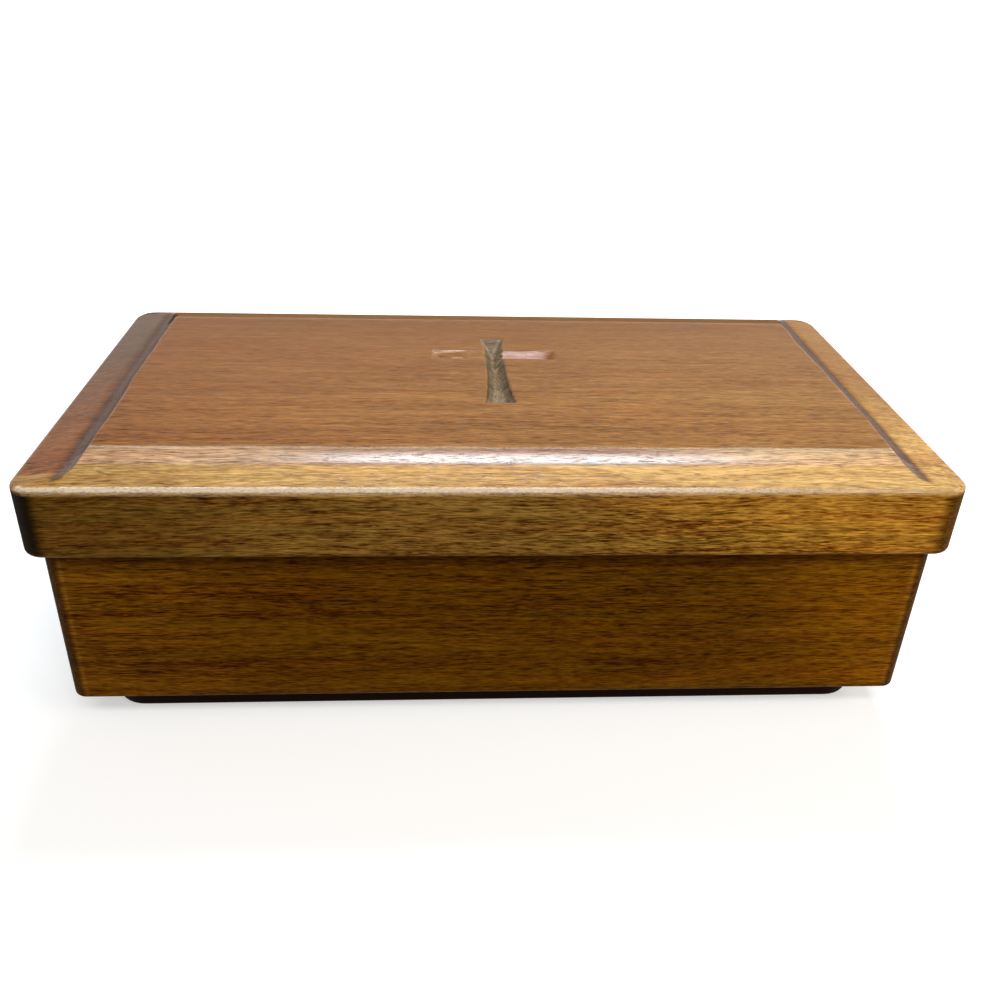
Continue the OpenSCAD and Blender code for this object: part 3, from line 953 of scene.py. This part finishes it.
def add_camera():
    """The camera as it was fitted to the photograph's outlines."""
    pitch, roll, yaw = (math.radians(a) for a in (29.675, 2.186, 4.449))
    place = (-0.01375, -0.21741, 0.15429)
    forward = Vector((math.sin(yaw) * math.cos(pitch), math.cos(yaw) * math.cos(pitch), -math.sin(pitch)))
    level = Vector((math.cos(yaw), -math.sin(yaw), 0))
    upright = level.cross(forward)
    right = level * math.cos(roll) + upright * math.sin(roll)
    up = upright * math.cos(roll) - level * math.sin(roll)
    data = bpy.data.cameras.new("camera")
    data.sensor_fit = "HORIZONTAL"
    data.sensor_width = 36
    data.lens = 35.44
    data.clip_start = 0.01
    camera = bpy.data.objects.new("camera", data)
    camera.matrix_world = Matrix.Translation(place) @ Matrix((right, up, -forward)).transposed().to_4x4()
    bpy.context.scene.collection.objects.link(camera)
    bpy.context.scene.camera = camera


# Light and floor

def add_lamp(name, place, aim, size, power, colour=(1, 1, 1)):
    """A soft rectangular lamp that points from its place at aim."""
    data = bpy.data.lights.new(name, "AREA")
    data.shape = "RECTANGLE"
    data.size, data.size_y = size
    data.energy = power
    data.color = colour
    lamp = bpy.data.objects.new(name, data)
    lamp.location = place
    lamp.rotation_euler = (Vector(aim) - Vector(place)).to_track_quat("-Z", "Y").to_euler()
    bpy.context.scene.collection.objects.link(lamp)


def seen_directly(tree):
    """1 for the rays that show the background: camera, glossy and transmission rays."""
    path = tree.nodes.new("ShaderNodeLightPath")
    total = path.outputs["Is Camera Ray"]
    for name in ("Is Glossy Ray", "Is Transmission Ray"):
        add = tree.nodes.new("ShaderNodeMath")
        add.operation = "MAXIMUM"
        tree.links.new(total, add.inputs[0])
        tree.links.new(path.outputs[name], add.inputs[1])
        total = add.outputs[0]
    return total


def add_floor():
    """A pale floor that takes the object's shadow near it and is white further out."""
    half = 8
    glow_from, glow_full = 0.11, 0.32
    mesh = bpy.data.meshes.new("floor")
    mesh.from_pydata([(-half, -half, 0), (half, -half, 0), (half, half, 0), (-half, half, 0)], [],
                     [(0, 1, 2, 3)])
    floor = bpy.data.objects.new("floor", mesh)
    bpy.context.scene.collection.objects.link(floor)
    s = Shader("floor")
    tree = s.tree
    coords = s.node("ShaderNodeTexCoord")
    distance = s.node("ShaderNodeVectorMath", {0: coords.outputs["Object"]}, operation="LENGTH")
    glow_strength = s.step(distance.outputs["Value"], glow_from, glow_full, 0.5, 1.0)
    bounce = s.node("ShaderNodeBsdfDiffuse", {"Color": (0.35, 0.34, 0.33, 1)})
    seen = s.node("ShaderNodeBsdfDiffuse", {"Color": (0.75, 0.75, 0.75, 1)})
    glow = s.node("ShaderNodeEmission", {"Strength": glow_strength})
    both = s.node("ShaderNodeAddShader", {0: seen.outputs[0], 1: glow.outputs[0]})
    pick = s.node("ShaderNodeMixShader", {0: seen_directly(tree), 1: bounce.outputs[0], 2: both.outputs[0]})
    s.put(tree.nodes["Material Output"].inputs["Surface"], pick.outputs[0])
    tree.nodes.remove(s.bsdf)
    floor.data.materials.append(s.material)


def set_world():
    """A dim, even room with white walls: what is seen of it is white up to its walls' top."""
    # The level that lights the object, and the heights in degrees where the walls fade into it
    plain, wall_low, wall_high = 0.22, 12, 24
    world = bpy.data.worlds.new("studio")
    world.use_nodes = True
    bpy.context.scene.world = world
    tree = world.node_tree
    background = tree.nodes["Background"]
    direction = tree.nodes.new("ShaderNodeSeparateXYZ")
    tree.links.new(tree.nodes.new("ShaderNodeTexCoord").outputs["Generated"], direction.inputs[0])
    walls = tree.nodes.new("ShaderNodeMapRange")
    walls.interpolation_type = "SMOOTHSTEP"
    tree.links.new(direction.outputs["Z"], walls.inputs["Value"])
    level = tree.nodes.new("ShaderNodeMapRange")
    tree.links.new(seen_directly(tree), level.inputs["Value"])
    tree.links.new(walls.outputs["Result"], level.inputs["To Max"])
    tree.links.new(level.outputs["Result"], background.inputs["Strength"])
    for socket, value in (("From Min", math.sin(math.radians(wall_low))), ("To Min", 1.0),
                          ("From Max", math.sin(math.radians(wall_high))), ("To Max", plain)):
        walls.inputs[socket].default_value = value
    level.inputs["To Min"].default_value = plain
    background.inputs["Color"].default_value = (1, 1, 1, 1)


add_camera()
add_floor()
set_world()
add_lamp("back_window", place=(0.09, 0.51, 0.87), aim=(0.01, -0.04, 0.06), size=(0.46, 0.24), power=6.2,
         colour=(0.82, 0.94, 1))
add_lamp("front_strip", place=(-0.06, -0.55, 0.8), aim=(-0.02, -0.03, 0.06), size=(0.75, 0.16), power=3.0)
add_lamp("right_fill", place=(0.6, -0.35, 0.42), aim=(0, 0, 0.03), size=(0.4, 0.4), power=2.6,
         colour=(1, 0.9, 0.74))

bpy.context.scene.view_settings.view_transform = "Standard"
